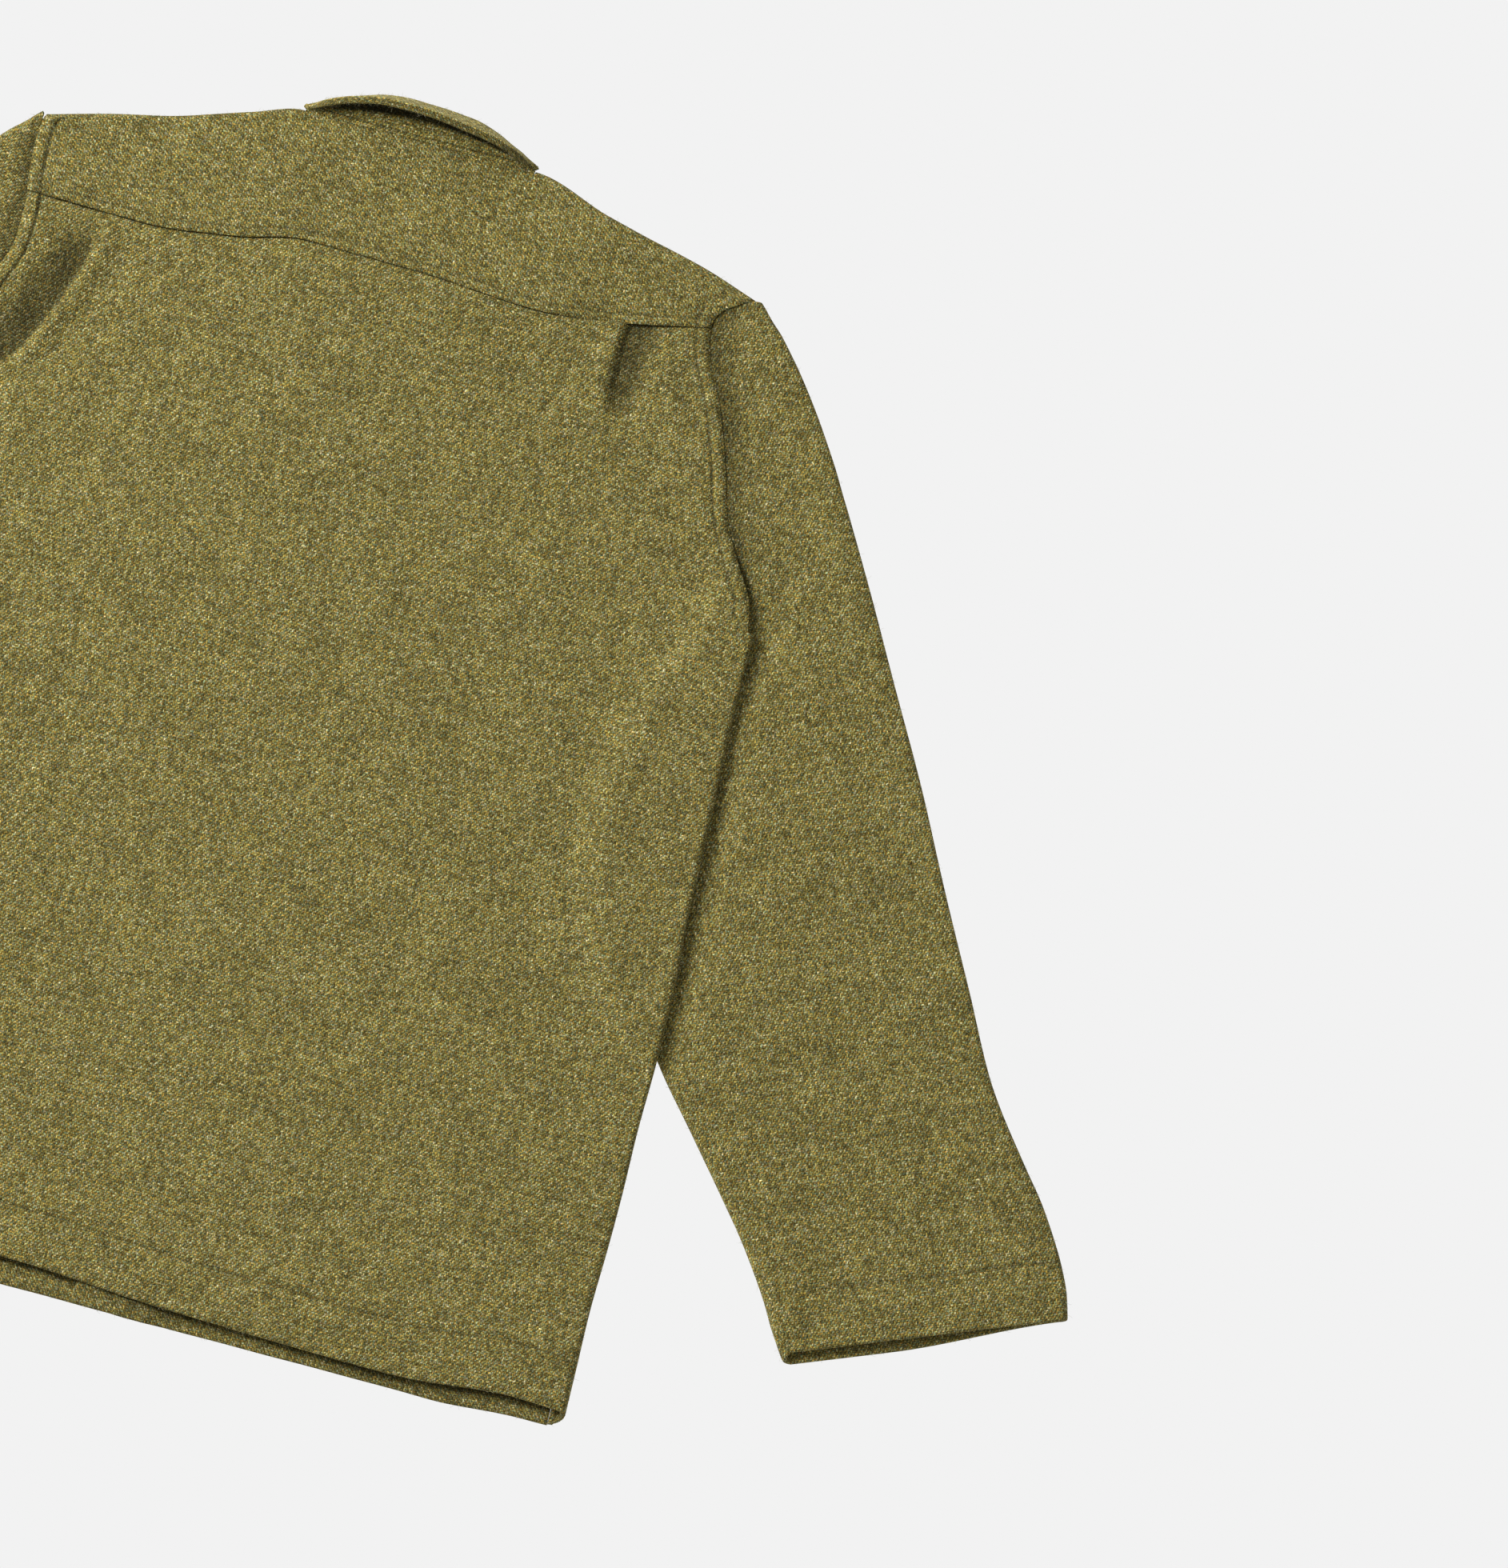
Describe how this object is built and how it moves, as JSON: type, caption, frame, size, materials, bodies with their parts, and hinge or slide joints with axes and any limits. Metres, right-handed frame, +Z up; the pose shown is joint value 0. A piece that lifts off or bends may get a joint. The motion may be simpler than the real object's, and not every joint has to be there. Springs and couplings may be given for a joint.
{
  "type": "tweed jacket",
  "caption": "Wool tweed jacket laid flat with its back up: shoulder yoke over a tucked back panel, sleeves spread at the sides, turned-down collar, turned-up hem and cuffs.",
  "frame": {"origin": "centre of the bounding box on the surface that the jacket lies on, close to the middle of the back", "axes": "+Z up out of the surface, +Y from the hem to the collar, +X to the right as seen from above with the collar at the top"},
  "size_m": [1.1156, 0.7595, 0.0434],
  "materials": {
    "tweed": "matt woollen tweed"
  },
  "bodies": {
    "root": {"back": "tweed", "yoke": "tweed", "front_left": "tweed", "front_right": "tweed", "sleeve_left": "tweed", "sleeve_right": "tweed", "collar_upper": "tweed", "collar_under": "tweed", "collar_end_left": "tweed", "collar_end_right": "tweed"}
  },
  "joints": []
}
